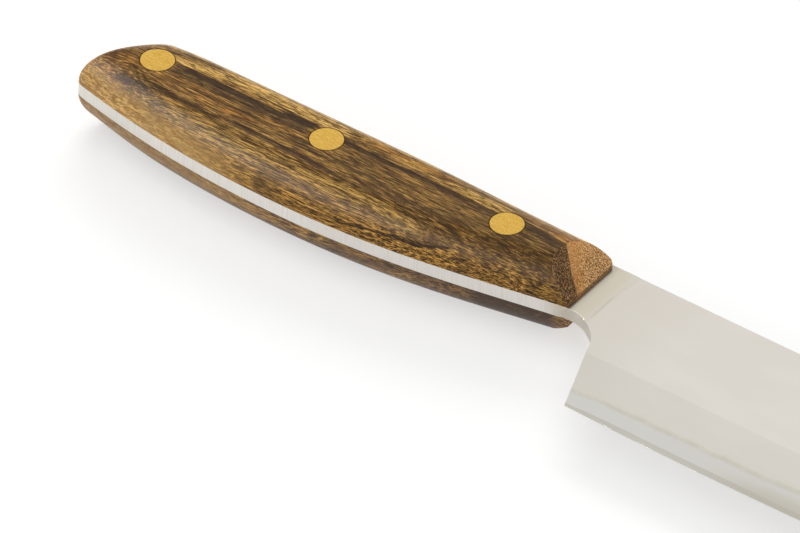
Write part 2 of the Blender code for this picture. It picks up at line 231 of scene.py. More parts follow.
def aim(name: str, data: bpy.types.ID, target: Vector, distance: float, angles: Floats) -> Piece:
    """Places a lamp or the camera so that it looks at a target.

    Args:
        name: Its name.
        data: Its lamp or camera data.
        target: What it looks at.
        distance: How far off it is.
        angles: Degrees round from square to the knife's near side, up, and about its own view.

    Returns:
        The lamp or camera.
    """
    azimuth, elevation, roll = angles
    turn = Matrix.Rotation(math.radians(azimuth), 4, "Z")
    turn @= Matrix.Rotation(math.radians(90 - elevation), 4, "X")
    place = Matrix.Translation(target + turn.col[2].to_3d() * distance)
    thing = bpy.data.objects.new(name, data)
    thing.matrix_world = place @ turn @ Matrix.Rotation(math.radians(roll), 4, "Z")
    bpy.context.scene.collection.objects.link(thing)
    return thing


@dataclass(frozen=True)
class Datum:
    """Where the knife's own zero lies in the frame: front of the wood, line of the spine, mid-tang."""

    front: float
    spine: float
    middle: float

    @classmethod
    def from_frame(cls) -> "Datum":
        """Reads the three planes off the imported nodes."""
        wood_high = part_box("right_scale")[1]
        steel_low, steel_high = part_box("blade_with_tang")
        return cls(wood_high[0], wood_high[1], (steel_low[2] + steel_high[2]) / 2)

    def offset(self) -> Vector:
        """The knife's zero in the frame."""
        return Vector((self.front, self.spine, self.middle))


# Finishes


@dataclass(frozen=True)
class Grain:
    """An uneven pattern whose marks have a real size in mm along X, Y and Z."""

    length: float
    width: float
    height: float
    detail: float = 2.0
    roughness: float = 0.55

    def lay(self, tree: Tree, place: Socket, output: str = "Fac") -> Socket:
        """Lays the pattern out.

        Args:
            tree: The material's node tree.
            place: Coordinates in mm.
            output: Fac for one value from 0 to 1, or Color for three.

        Returns:
            The pattern at that place.
        """
        scale = (1 / self.length, 1 / self.width, 1 / self.height)
        stretched = add_node(tree, "VectorMath", (place, scale), **TIMES)
        inputs = {"Vector": stretched, "Scale": 1.0, "Detail": self.detail, "Roughness": self.roughness}
        return add_node(tree, "TexNoise", inputs, output)


@dataclass(frozen=True)
class Sway:
    """How growth wanders across the grain: a slow pattern and its full travel in mm."""

    grain: Grain
    travel: float

    def bend(self, tree: Tree, place: Socket) -> Socket:
        """Moves coordinates across the grain."""
        noise = self.grain.lay(tree, place, "Color")
        centred = add_node(tree, "VectorMath", (noise, (0.5, 0.5, 0.5)), **MINUS)
        return add_node(tree, "VectorMath", (centred, (0.0, self.travel, self.travel), place), **TIMES_PLUS)


@dataclass(frozen=True)
class Coat:
    """A colour that comes in as a figure goes from one level to another."""

    figure: Enum
    start: float
    full: float
    colour: str
    strength: float = 1.0
    within: Enum | None = None  # a second figure that limits it

    def brush(self, tree: Tree, figures: dict[Enum, Socket], shade_under_tang: Socket | tuple) -> Socket:
        """Puts the coat on.

        Args:
            tree: The material's node tree.
            figures: Its figures by name.
            under: Colour below the coat.

        Returns:
            The colour with the coat on it.
        """
        reach = (figures[self.figure], self.start, self.full, 0.0, self.strength)
        share = add_node(tree, "MapRange", reach, **SMOOTH)
        if self.within:
            share = add_node(tree, "Math", (share, figures[self.within]), **TIMES)
        inputs = {0: share, 6: shade_under_tang, 7: linear(self.colour)}
        return add_node(tree, "Mix", inputs, output=2, data_type="RGBA")


@dataclass(frozen=True)
class Canvas:
    """A new material's tree, with its shader and the knife's own coordinates in millimetres."""

    material: Finish
    tree: Tree
    shader: bpy.types.Node
    place: Socket

    @classmethod
    def blank(cls, name: str, datum: Datum, metallic: float) -> "Canvas":
        """Starts a material.

        Args:
            name: What the real material is.
            datum: The knife's zero.
            metallic: 1 for a metal.

        Returns:
            The canvas, with object coordinates turned to the knife's millimetres.
        """
        material = bpy.data.materials.new(name)
        material.use_nodes = True
        tree = material.node_tree
        shader = tree.nodes["Principled BSDF"]
        shader.inputs["Metallic"].default_value = metallic
        source = add_node(tree, "TexCoord", output="Object")
        inputs = {"Vector": source, "Location": -datum.offset() * MM, "Scale": (MM, MM, MM)}
        place = add_node(tree, "Mapping", inputs, vector_type="POINT")
        return cls(material, tree, shader, place)

    def paint(self, ground: str, coats: Iterable[Coat], figures: dict[Enum, Socket]) -> None:
        """Paints the base colour coat by coat.

        Args:
            ground: Colour below all coats.
            coats: The coats, the lowest first.
            figures: The figures that they follow.
        """
        colour = linear(ground)
        for coat in coats:
            colour = coat.brush(self.tree, figures, colour)
        self.tree.links.new(colour, self.shader.inputs["Base Color"])

    def work(self, height: Socket, depth_mm: float, roughness: Socket) -> None:
        """Gives the surface its fine relief and its roughness.

        Args:
            height: Height from 0 to 1.
            depth_mm: What a height of 1 is in mm.
            roughness: Roughness at a point.
        """
        inputs = {"Height": height, "Distance": depth_mm / MM, "Strength": 1.0}
        normal = add_node(self.tree, "Bump", inputs)
        self.tree.links.new(normal, self.shader.inputs["Normal"])
        self.tree.links.new(roughness, self.shader.inputs["Roughness"])


class Mark(Enum):
    """What varies over the ground steel."""

    DEPTH = "height above the weld"
    RIM = "distance from the band of soft iron above the weld"
    SEAM = "distance from the weld"
    PATCHES = "where the weld shows most"
    HEIGHT = "height, from which the small bevel along the edge starts"
    STATION = "distance ahead of the wood"
    CLOUD = "slow unevenness of the polish"
    BELT = "marks of the last belt across the upright walls"
    PLUNGE = "distance from the plunge line"
    BEVEL = "share of the bevel"
    WALL = "share of the upright walls"
    BLADE = "share of the blade's faces behind its plunge"
    MIDDLE = "share of the middle of the plunge line"
    # Painted reflection: the edge is darkened far ahead of the heel, for the dark reflection that the bevel
    # shows there.
    PAINTED_REFLECTION = "share of the edge that is darker, far ahead of the heel"


@dataclass(frozen=True)
class GroundSteel:
    """Stainless soft iron forge-welded to a high-carbon core, ground and satin polished.

    The eye sees a pale, nearly white sheet with a faint warm tint, a thin olive line where the core
    comes to the surface, a cooler grey core below it, and hardly any grinding marks.
    """

    cladding: str = "#dad5cd"
    weld_height: float = -0.43  # mm of the core's upper face above the middle of the tang
    weld_drop: float = 0.12  # how far it dips at the heel
    weld_dip: Span = (29.0, 15.0)  # stations between which it dips
    rim_height: float = 0.14  # of the brightest iron, above the weld
    bevel_reach: Span = (10.0, 12.0)  # stations between which the bevel begins
    plunge: float = 6.1  # station of its line
    plunge_depths: Floats = (8.0, 11.0, 16.5, 19.0)  # where it comes in, is full, and goes
    ridge_reach: Span = (17.0, 29.0)  # stations between which the small bevel widens
    ridge_drop: float = 0.09  # mm that its ridge lies lower at the heel
    reflection_reach: Span = (48.0, 76.0)  # stations between which the painted dark reflection comes in
    reflection_depth: Span = (0.1, -0.9)  # mm above the weld
    steep: Span = (0.6, 0.3)  # how far a wall's normal may look up
    weld_sway: Grain = Grain(9, 30, 30, 4)
    weld_travel: float = 0.24
    weld_ripple: Grain = Grain(1.6, 3, 3, 3)
    ripple_travel: float = 0.05
    patches: Grain = Grain(5, 9, 9, 3)
    patchy: Floats = (0.34, 0.56, 0.55, 1.0)  # levels of the patches, and shares of the seam
    cloud: Grain = Grain(30, 14, 14, 3)
    belt: Grain = Grain(14, 0.22, 0.22)  # as coarse as it needs to show, and the next one too
    wall_belt: Grain = Grain(0.3, 0.3, 8)
    relief: float = 0.0008  # mm
    satin: float = 0.27
    satin_change: float = 0.05
    coats: tuple[Coat, ...] = (
        Coat(Mark.CLOUD, 0.4, 0.66, "#d4cec4", 0.4),
        Coat(Mark.STATION, 34, 9, "#cdc7bc", 0.5, Mark.BLADE),
        Coat(Mark.DEPTH, 0.04, -0.08, "#d1cfc9", 1, Mark.BEVEL),
        Coat(Mark.RIM, 0.26, 0.05, "#d2cfc2", 0.36, Mark.PATCHES),
        Coat(Mark.SEAM, 0.18, 0.02, "#c0bbab", 0.5, Mark.PATCHES),
        # Painted shade: the small bevel along the edge is darkened for the way it faces away from the light.
        Coat(Mark.HEIGHT, -1.16, -1.21, "#c1beb5", 0.9, Mark.BEVEL),
        # Painted reflection: the edge is darker far ahead of the heel, below the weld.
        Coat(Mark.PAINTED_REFLECTION, 0, 1, "#c0baad", 0.78),
        # Painted shade beside the wood: the blade's faces darken within 7.5 mm of it, and more within 2.4
        # mm.
        Coat(Mark.STATION, 7.5, 4, "#cdc6b5", 0.95, Mark.BLADE),
        Coat(Mark.STATION, 2.4, 0.2, "#a29a8a", 0.45, Mark.BLADE),
        # Painted shade: a darker line along the step of the plunge.
        Coat(Mark.PLUNGE, 0.45, 0.05, "#bfb8ab", 0.45, Mark.MIDDLE),
        Coat(Mark.WALL, 0, 1, "#e4e1dc", 0.9),
        Coat(Mark.STATION, -75, -58, "#dbd7d1", 0.9, Mark.WALL),
        Coat(Mark.STATION, -109, -127, "#d1cfc8", 0.9, Mark.WALL),
        Coat(Mark.BELT, 0.45, 0.66, "#c0b8ab", 0.28, Mark.WALL),
        # Painted shade: the tang's walls darken at the neck, where they reflect the shaded floor, and stay a
        # darker grey over the choil wall.
        Coat(Mark.STATION, -7, -0.5, "#b9b0a2", 0.88, Mark.WALL),
        Coat(Mark.STATION, 0, 4, "#c8c1b5", 0.9, Mark.WALL),
    )

    def figures(self, canvas: Canvas) -> dict[Enum, Socket]:
        """What the coats follow.

        Args:
            canvas: The material that is being made.

        Returns:
            Each mark at a point, distances in mm and shares from 0 to 1.
        """
        tree = canvas.tree
        add = partial(add_node, tree)
        x, y, z = add("SeparateXYZ", (canvas.place,)).node.outputs
        upward = add("SeparateXYZ", (add("NewGeometry", output="Normal"),), output=2)
        wall = add("MapRange", (add("Math", (upward,), **SIZE_OF), *self.steep), **SMOOTH)

        dip = add("MapRange", (x, *self.weld_dip, 0.0, self.weld_drop), **SMOOTH)
        depth = add("Math", (self.weld_sway.lay(tree, canvas.place), -self.weld_travel, z), **TIMES_PLUS)
        ripple = self.weld_ripple.lay(tree, canvas.place)
        depth = add("Math", (ripple, -self.ripple_travel, depth), **TIMES_PLUS)
        middle = (self.weld_travel + self.ripple_travel) / 2 - self.weld_height
        depth = add("Math", (add("Math", (depth, dip), **PLUS), middle), **PLUS)
        rim = add("Math", (add("Math", (depth, self.rim_height), **MINUS),), **SIZE_OF)
        seam = add("Math", (depth,), **SIZE_OF)
        bevel = add("MapRange", (x, *self.bevel_reach), **SMOOTH)
        patches = add("MapRange", (self.patches.lay(tree, canvas.place), *self.patchy), **SMOOTH)
        patches = add("Math", (patches, bevel), **TIMES)
        drop = add("MapRange", (x, *self.ridge_reach, self.ridge_drop, 0.0), **SMOOTH)
        reflection_ahead = add("MapRange", (x, *self.reflection_reach), **SMOOTH)
        low = add("MapRange", (depth, *self.reflection_depth), **SMOOTH)

        come, full, leave, gone = self.plunge_depths
        near = add("MapRange", (y, -come, -full), **SMOOTH)
        far = add("MapRange", (y, -gone, -leave), **SMOOTH)
        return {
            Mark.DEPTH: depth,
            Mark.RIM: rim,
            Mark.SEAM: seam,
            Mark.PATCHES: patches,
            Mark.HEIGHT: add("Math", (z, drop), **PLUS),
            Mark.STATION: x,
            Mark.CLOUD: self.cloud.lay(tree, canvas.place),
            Mark.BELT: self.wall_belt.lay(tree, canvas.place),
            Mark.PLUNGE: add("Math", (add("Math", (x, self.plunge), **MINUS),), **SIZE_OF),
            Mark.BEVEL: bevel,
            Mark.WALL: wall,
            Mark.BLADE: add("Math", (1.0, wall), **MINUS),
            Mark.MIDDLE: add("Math", (near, far), **TIMES),
            Mark.PAINTED_REFLECTION: add("Math", (reflection_ahead, low), **TIMES),
        }

    def build(self, datum: Datum) -> Finish:
        """Makes the material for the blade with its tang."""
        canvas = Canvas.blank("ground and satin polished laminated steel", datum, metallic=1.0)
        add = partial(add_node, canvas.tree)
        figures = self.figures(canvas)
        canvas.paint(self.cladding, self.coats, figures)
        belt = self.belt.lay(canvas.tree, canvas.place)
        inputs = {0: figures[Mark.WALL], 2: belt, 3: figures[Mark.BELT]}
        height = add("Mix", inputs, data_type="FLOAT")
        roughness = add("Math", (figures[Mark.CLOUD], self.satin_change, self.satin), **TIMES_PLUS)
        canvas.work(height, self.relief, roughness)
        return canvas.material


@dataclass(frozen=True)
class Layer:
    """A growth layer that crosses a board, given where it meets the flat of the scale, in mm."""

    rear: float
    front: float
    rear_depth: float  # below the spine, at its rear end
    front_depth: float
    width: float
    strength: float
    lean: float = 0.4  # how much deeper it lies for each mm that it goes down
    far: float = 0.7  # mm over which it fades towards the spine
    near: float = 0.9  # and towards the belly
    fade: float = 6.0  # and past its ends
    flat_height: float = 10.2  # mm of the flat above the middle of the tang

    def share(self, tree: Tree, place: Socket, x: Socket) -> Socket:
        """How much of the layer shows at a point.

        Args:
            tree: The material's node tree.
            place: Coordinates in mm, bent by the grain's sway.
            x: Distance ahead of the wood's front.

        Returns:
            A share from 0 to the layer's strength.
        """
        add = partial(add_node, tree)
        slope = (self.front_depth - self.rear_depth) / (self.front - self.rear)
        middle = self.rear_depth - slope * self.rear + self.lean * self.flat_height
        top, base = middle - self.width / 2, middle + self.width / 2
        depth = add("VectorMath", (place, (-slope, -1.0, self.lean)), "Value", operation="DOT_PRODUCT")
        share = add("MapRange", (depth, top - self.far, top, 0.0, self.strength), **SMOOTH)
        for value, start, full in (
            (depth, base + self.near, base),
            (x, self.rear - self.fade, self.rear),
            (x, self.front + self.fade, self.front),
        ):
            share = add("Math", (share, add("MapRange", (value, start, full), **SMOOTH)), **TIMES)
        return share


class Figure(Enum):
    """What varies over the wood."""

    TONE = "broad changes between heartwood and sapwood colours"
    STREAK = "lines of growth, some 1 mm wide"
    FIBRE = "fibres that the eye can just tell apart"
    THREAD = "long pores"
    FLECK = "short pores"
    DOT = "fibres cut across"
    GOLDEN = "golden growth layers"
    AMBER = "reddish growth layers"
    DARK = "dark growth layers"
    LIGHT = "share of the wood outside its dark layers"
    # Partly painted light: the sides are painted more golden both for the cut across the layers and for the
    # light bounced up from the floor.
    LOW = "share of the sides, where the cut is across the layers"
    PALE = "share of the sides that is paler, towards the butt"
    # Painted shade and painted reflection: the lower board, under the tang, is darkened and greyed for the
    # shade it lies in and the white floor it reflects.
    SHADE_UNDER_TANG = "share of the greyer wood, below the tang"
    ACROSS = "share of the surface that cuts across the fibres"
    ALONG = "share of the surface that lies along the fibres"
    END_ON = "how squarely the surface cuts the fibres"
    CUT_LIGHT = "share of pale end grain"
    CUT_DARK = "share of dark end grain"
    RING = "distance from the nearest rivet's middle"


@dataclass(frozen=True)
class Board:
    """What one board's growth shows: golden, reddish and dark layers, and dark ones in end grain alone."""

    name: str
    golden: tuple[Layer, ...]
    amber: tuple[Layer, ...]
    dark: tuple[Layer, ...]
    end_grain: tuple[Layer, ...]


UPPER_BOARD = Board(
    name="oiled bocote, upper board",
    golden=(
        # Partly painted sheen: a golden layer along the spine side, which also lightens the far rounding for
        # its grazing sheen.
        Layer(-136, 4, 1.2, 1.2, 4.6, 0.78, lean=0, near=2.2),
        Layer(-112, -84, 22, 23.4, 1.3, 0.52, far=1, near=1.4, fade=8),
        Layer(-84, -42, 23.4, 22, 1.3, 0.5, far=1, near=1.4, fade=8),
        Layer(-116, -100, 8.6, 6, 1.8, 0.85, far=1.8, near=0.5, fade=5),
        Layer(-100, -71, 6, 6.4, 2.2, 0.95, far=2, near=0.5, fade=4),
        Layer(-56, -28, 7.6, 8.2, 0.9, 0.5, far=1.5, near=0.6),
        Layer(-38, -26, 6.9, 7.3, 1.2, 0.65, far=1.5),
        Layer(-108, -86, 22.8, 20.6, 1.2, 0.35, far=1, near=1.2),
    ),
    amber=(
        Layer(-140, -126, 14, 14, 12, 0.5, far=3, near=3),
        Layer(-118, -99, 14.4, 15.2, 3.2, 0.45, far=1.6, near=2),
        Layer(-97, -91, 16.2, 16.2, 1.6, 0.9, far=1, near=1, fade=2),
        Layer(-88, -76, 13.2, 13, 1.6, 0.5, far=1, near=1, fade=5),
        Layer(-62, -38, 6, 6.8, 1.8, 0.65, far=1.5, near=1, fade=5),
        Layer(-20, -6, 6.4, 5.9, 2, 0.55, far=1.2, near=1.2),
        Layer(-12, 4, 7, 7, 1.8, 0.9, lean=0.9, far=2.4, fade=1),
    ),
    dark=(
        Layer(-114, -80, 10.8, 10.9, 2.6, 0.75, far=0.5, near=1.6, fade=4),
        Layer(-112, -86, 10.1, 10.2, 1.5, 1, far=0.4, fade=4),
        Layer(-84.5, -78, 9.2, 8.8, 1.7, 1, far=0.4, near=1, fade=2),
        Layer(-103, -86, 12.6, 11.9, 0.7, 0.8, far=0.4, near=0.6),
        Layer(-108, -88, 14.5, 14.5, 0.5, 0.6, far=0.4, near=0.6),
        Layer(-70, -26, 9.3, 9.5, 0.7, 0.9, far=0.4, near=1.2, fade=3),
        Layer(-46, -27, 9.6, 10.4, 1.1, 0.8, near=1.2, fade=4),
        Layer(-46, -34, 7.2, 5, 0.4, 0.65, far=0.4, near=0.5),
        Layer(-125.5, -117, 18.5, 19.4, 0.7, 0.8, far=0.6, near=0.7, fade=2),
        Layer(-116, -98, 18.4, 19.9, 0.8, 0.7, fade=3),
        Layer(-93, -68, 18.9, 19.4, 0.6, 0.85, far=0.6, near=0.7, fade=2),
        Layer(-94, -65, 17.4, 16.5, 0.6, 0.55, near=1, fade=4),
        Layer(-114, -110.5, 21.9, 21.9, 0.8, 0.65, far=1, near=1, fade=2),
        Layer(-80.5, -75.5, 24.8, 24.8, 0.8, 0.6, far=1, near=1, fade=2),
        Layer(-66, -36, 15.6, 18, 0.6, 0.75, near=1.2, fade=4),
        Layer(-36, -22, 18, 16.8, 0.5, 0.6),
        Layer(-92, -66, 19.2, 19.9, 0.5, 0.65),
        Layer(-61, -48, 20.7, 19.3, 0.5, 0.6),
        Layer(-110, -90, 23.4, 24.8, 1.6, 0.32, far=1.2, near=1.5, fade=4),
        Layer(-68, -30, 25.8, 22.6, 1.4, 0.22, far=1.2, near=1.2),
        Layer(-48, -34, 19.3, 20.3, 0.5, 0.55),
        Layer(-46, -18, 15.8, 22.4, 0.6, 0.65),
        Layer(-60, -38, 13.8, 14, 5, 0.42, far=3, near=3, fade=16),
        Layer(-38, 2, 14, 14.4, 5, 0.56, far=3, near=3, fade=10),
        Layer(-22, -1, 16.4, 22.6, 0.6, 0.7, lean=0),
        Layer(-11, -1, 26, 22.6, 0.7, 0.75, lean=0),
        Layer(-56, -44, 33.5, 30.5, 0.5, 0.9, lean=-1, far=0.4, near=0.25, fade=4),
        Layer(-44, -37.5, 30.4, 29.6, 0.75, 1, lean=-1, far=0.6, near=0.25, fade=1.5),
        Layer(-37.5, -31, 29.4, 26.1, 0.6, 1, lean=-1, far=0.8, near=0.25, fade=2.5),
        Layer(-40, -31, 28.5, 25.2, 1.6, 0.65, lean=-1, far=2.4, near=0.8, fade=4),
        Layer(-22, 2, 20.6, 20.6, 4, 0.42, far=2.5, near=2.5),
        Layer(-14, -2, 23.6, 23.2, 0.6, 0.7, far=0.5, near=0.5, fade=3),
        Layer(-131, -124.5, 13.5, 10.5, 2, 0.5, far=1.5, near=1.5, fade=3),
        Layer(-19, 2, 9, 11, 2.3, 0.85, lean=0.72, far=0.5, near=1.4, fade=2.5),
    ),
    end_grain=(Layer(-12, 4, 11.6, 11.6, 6, 0.9, lean=0.9, far=0.5, fade=1),),
)
LOWER_BOARD = Board(
    name="oiled bocote, lower board",
    golden=(
        Layer(-128, -104, 24, 27, 2, 0.4, lean=0, far=2, near=2),
        Layer(-100, -62, 26.8, 28.6, 2, 1, lean=0, far=1, near=2, fade=4),
    ),
    amber=(Layer(-90, -40, 12, 13, 3, 0.7, far=2, near=2),),
    dark=(
        Layer(-140, -100, 24, 27, 12, 0.56, lean=0, far=3, near=3, fade=4),
        Layer(-60, -51, 27, 27, 6, 0.35, lean=0, far=3, near=3, fade=4),
        Layer(-22, -6, 22, 19, 4, 1, lean=0, far=1.6, near=1.6),
        Layer(-36, -6, 25, 19, 5, 0.55, lean=0, far=1.6, near=1.6),
        Layer(-118, -60, 9, 8, 2, 0.8),
        Layer(-70, -5, 15, 14, 1.6, 0.7, near=1.6),
        Layer(-110, -30, 19, 21, 1, 0.6, near=1.6),
    ),
    end_grain=(Layer(-12, 4, 9, 9, 4, 0.6, lean=0, far=0.6, fade=1),),
)


@dataclass(frozen=True)
class OiledBocote:
    """Bocote, a dense tropical hardwood, sanded fine and oiled.

    The eye sees golden brown wood with dark brown, almost black figure along the grain, short dark
    pores, a soft sheen on the roundings, and orange, dotted end grain on the front facet.
    """

    gold: str = "#b88b42"
    specular: float = 0.10
    near_sways: tuple[Sway, ...] = (Sway(Grain(26, 10, 10, 3), 1.5), Sway(Grain(6, 1.6, 1.6, 3), 0.4))
    far_sway: Sway = Sway(Grain(45, 14, 14, 3), 3.6)
    broad: Grain = Grain(55, 4.5, 4.5)
    streak: Grain = Grain(30, 0.75, 0.75, 5, 0.66)
    fibre: Grain = Grain(6, 0.24, 0.24, 3)  # this one and the next three as coarse as they need to show
    thread: Grain = Grain(3, 0.2, 0.2)
    fleck: Grain = Grain(3, 0.32, 0.32, 3, 0.65)
    dot: Grain = Grain(1.4, 0.24, 0.24)
    broad_share: float = 0.50
    slant: Span = (0.35, 0.60)  # of the normal along the fibres, where end grain starts
    side_heights: Span = (8.5, 4.8)  # mm from mid-tang between which the side begins
    pale_reach: Span = (-64.0, -126.0)  # stations between which the side grows paler
    under_shade_heights: Span = (0.0, -1.7)  # mm from mid-tang between which the painted shade and floor reflection under the tang come in
    dark_break: Floats = (0.62, 0.34, 0.78, 1.0)  # streak levels, and shares of a dark layer
    relief: float = 0.035  # mm, of which the pores take the first share and the fibres the second
    fleck_height: float = -1.0
    fibre_height: float = -0.6
    oiled: float = 0.30
    oiled_change: float = 0.14
    coats: tuple[Coat, ...] = (
        Coat(Figure.TONE, 0.38, 0.54, "#64441a", 0.85),
        Coat(Figure.AMBER, 0, 1, "#ad742c", 0.8),
        Coat(Figure.GOLDEN, 0, 1, "#dcb060"),
        Coat(Figure.STREAK, 0.48, 0.62, "#472f16", 0.65),
        # Partly painted light: more golden sides, for the cut across the layers and for light bounced up
        # from the floor.
        Coat(Figure.LOW, 0, 1, "#c69347", 0.68),
        Coat(Figure.ACROSS, 0, 1, "#c4925c", 0.92),
        Coat(Figure.DARK, 0, 1, "#2c1e11"),
        # Painted shade: upright faces that look along the fibres, such as the front wall, are darkened for
        # the shade they lie in.
        Coat(Figure.END_ON, 0.9, 0.98, "#49301a", 0.94),
        Coat(Figure.FIBRE, 0.5, 0.58, "#3e2812", 0.75, Figure.ALONG),
        Coat(Figure.FIBRE, 0.46, 0.36, "#d6a657", 0.7, Figure.LIGHT),
        Coat(Figure.THREAD, 0.52, 0.6, "#24170b", 0.75, Figure.ALONG),
        Coat(Figure.FLECK, 0.48, 0.57, "#201309", 0.9, Figure.LOW),
        Coat(Figure.FLECK, 0.53, 0.63, "#2a1a0d", 0.58, Figure.ALONG),
        Coat(Figure.PALE, 0, 1, "#e6c27c", 0.54),
        Coat(Figure.TONE, 0.46, 0.56, "#8d6f4c", 0.42, Figure.PALE),
        Coat(Figure.STREAK, 0.48, 0.55, "#8a5c2c", 0.62, Figure.PALE),
        Coat(Figure.FLECK, 0.48, 0.58, "#744a24", 0.58, Figure.PALE),
        # Painted shade and painted reflection of the white floor on the lower board.
        Coat(Figure.SHADE_UNDER_TANG, 0, 1, "#5f524d", 0.36, Figure.ALONG),
        Coat(Figure.DOT, 0.5, 0.58, "#6a4422", 0.85, Figure.CUT_LIGHT),
        Coat(Figure.DOT, 0.48, 0.38, "#e3bd8c", 0.7, Figure.CUT_LIGHT),
        Coat(Figure.DOT, 0.5, 0.38, "#b08455", 0.78, Figure.CUT_DARK),
        Coat(Figure.AMBER, 0, 1, "#a96f2b", 0.42, Figure.CUT_LIGHT),
        Coat(Figure.RING, 4.42, 4.12, "#231509", 0.7),
    )

    def strongest(self, canvas: Canvas, layers: tuple[Layer, ...], place: Socket, x: Socket) -> Socket:
        """The strongest of some layers at a point.

        Args:
            canvas: The material that is being made.
            layers: At least one layer.
            place: The point, bent by the grain's sway.
            x: Its distance ahead of the wood's front.

        Returns:
            A share from 0 to 1.
        """
        share = layers[0].share(canvas.tree, place, x)
        for layer in layers[1:]:
            other = layer.share(canvas.tree, place, x)
            share = add_node(canvas.tree, "Math", (share, other), **GREATER)
        return share

    def figures(self, canvas: Canvas, board: Board) -> dict[Enum, Socket]:
        """What the coats follow.

        Args:
            canvas: The material that is being made.
            board: The board's growth.

        Returns:
            Each figure at a point, from 0 to 1.
        """
        tree = canvas.tree
        add = partial(add_node, tree)
        near = canvas.place
        for sway in self.near_sways:
            near = sway.bend(tree, near)
        far = self.far_sway.bend(tree, canvas.place)
        x, _, z = add("SeparateXYZ", (canvas.place,)).node.outputs
        along = add("SeparateXYZ", (add("NewGeometry", output="Normal"),))
        end_on = add("Math", (along,), **SIZE_OF)
        across = add("MapRange", (end_on, *self.slant), **SMOOTH)

        streak = self.streak.lay(tree, far)
        broad = add("Math", (self.broad.lay(tree, far), self.broad_share), **TIMES)
        tone = add("Math", (streak, 1 - self.broad_share, broad), **TIMES_PLUS)
        dark = self.strongest(canvas, board.dark, near, x)
        in_ends = add("Math", (self.strongest(canvas, board.end_grain, near, x), across), **TIMES)
        broken = add("MapRange", (streak, *self.dark_break), **SMOOTH)
        dark = add("Math", (add("Math", (dark, broken), **TIMES), in_ends), **GREATER)
        light = add("Math", (1.0, dark), **MINUS)
        low = add("MapRange", (add("Math", (z,), **SIZE_OF), *self.side_heights), **SMOOTH)
        butt = add("MapRange", (x, *self.pale_reach), **SMOOTH)
        plan = add("VectorMath", (canvas.place, (1.0, 1.0, 0.0)), **TIMES)
        rings = [
            add("VectorMath", (plan, (station, -RIVET_DEPTH, 0.0)), "Value", operation="DISTANCE")
            for station in RIVETS
        ]
        ring = add("Math", (rings[0], add("Math", (rings[1], rings[2]), **LESSER)), **LESSER)
        return {
            Figure.TONE: tone,
            Figure.STREAK: streak,
            Figure.FIBRE: self.fibre.lay(tree, far),
            Figure.THREAD: self.thread.lay(tree, near),
            Figure.FLECK: self.fleck.lay(tree, near),
            Figure.DOT: self.dot.lay(tree, canvas.place),
            Figure.GOLDEN: self.strongest(canvas, board.golden, near, x),
            Figure.AMBER: self.strongest(canvas, board.amber, near, x),
            Figure.DARK: dark,
            Figure.LIGHT: light,
            Figure.LOW: low,
            Figure.PALE: add("Math", (low, butt), **TIMES),
            Figure.SHADE_UNDER_TANG: add("MapRange", (z, *self.under_shade_heights), **SMOOTH),
            Figure.ACROSS: across,
            Figure.ALONG: add("Math", (1.0, across), **MINUS),
            Figure.END_ON: end_on,
            Figure.CUT_LIGHT: add("Math", (across, light), **TIMES),
            Figure.CUT_DARK: add("Math", (across, dark), **TIMES),
            Figure.RING: ring,
        }

    def build(self, datum: Datum, board: Board) -> Finish:
        """Makes the material for one scale.

        Args:
            datum: The knife's zero.
            board: The growth of the board that it is cut from.

        Returns:
            The material.
        """
        canvas = Canvas.blank(board.name, datum, metallic=0.0)
        canvas.shader.inputs["Specular IOR Level"].default_value = self.specular
        add = partial(add_node, canvas.tree)
        figures = self.figures(canvas, board)
        canvas.paint(self.gold, self.coats, figures)
        fibres = add("Math", (figures[Figure.FIBRE], self.fibre_height), **TIMES)
        height = add("Math", (figures[Figure.FLECK], self.fleck_height, fibres), **TIMES_PLUS)
        roughness = add("Math", (figures[Figure.FIBRE], self.oiled_change, self.oiled), **TIMES_PLUS)
        canvas.work(height, self.relief, roughness)
        return canvas.material


class Scratch(Enum):
    """What varies over the brass."""

    PAPER = "marks of the sanding paper"


@dataclass(frozen=True)
class SandedBrass:
    """Cartridge brass, sanded flush with the wood on fine paper.

    The eye sees a warm, even gold with a fine grain of short scratches in all directions.
    """

    metal: str = "#dbb358"
    grit: Grain = Grain(0.3, 0.3, 0.3, 3)  # as coarse as it needs to show
    strokes: Grain = Grain(1.8, 0.25, 0.25)
    grit_share: float = 0.6
    relief: float = 0.014  # mm
    sanded: float = 0.30
    sanded_change: float = 0.16
    coats: tuple[Coat, ...] = (
        Coat(Scratch.PAPER, 0.42, 0.62, "#c4973a"),
        Coat(Scratch.PAPER, 0.44, 0.34, "#efcb78", 0.6),
    )

    def build(self, datum: Datum) -> Finish:
        """Makes the material for all six halves of the rivets."""
        canvas = Canvas.blank("brass sanded on fine paper", datum, metallic=1.0)
        add = partial(add_node, canvas.tree)
        grit = self.grit.lay(canvas.tree, canvas.place)
        strokes = add("Math", (self.strokes.lay(canvas.tree, canvas.place), 1 - self.grit_share), **TIMES)
        paper = add("Math", (grit, self.grit_share, strokes), **TIMES_PLUS)
        canvas.paint(self.metal, self.coats, {Scratch.PAPER: paper})
        roughness = add("Math", (grit, self.sanded_change, self.sanded), **TIMES_PLUS)
        canvas.work(paper, self.relief, roughness)
        return canvas.material


# The knife


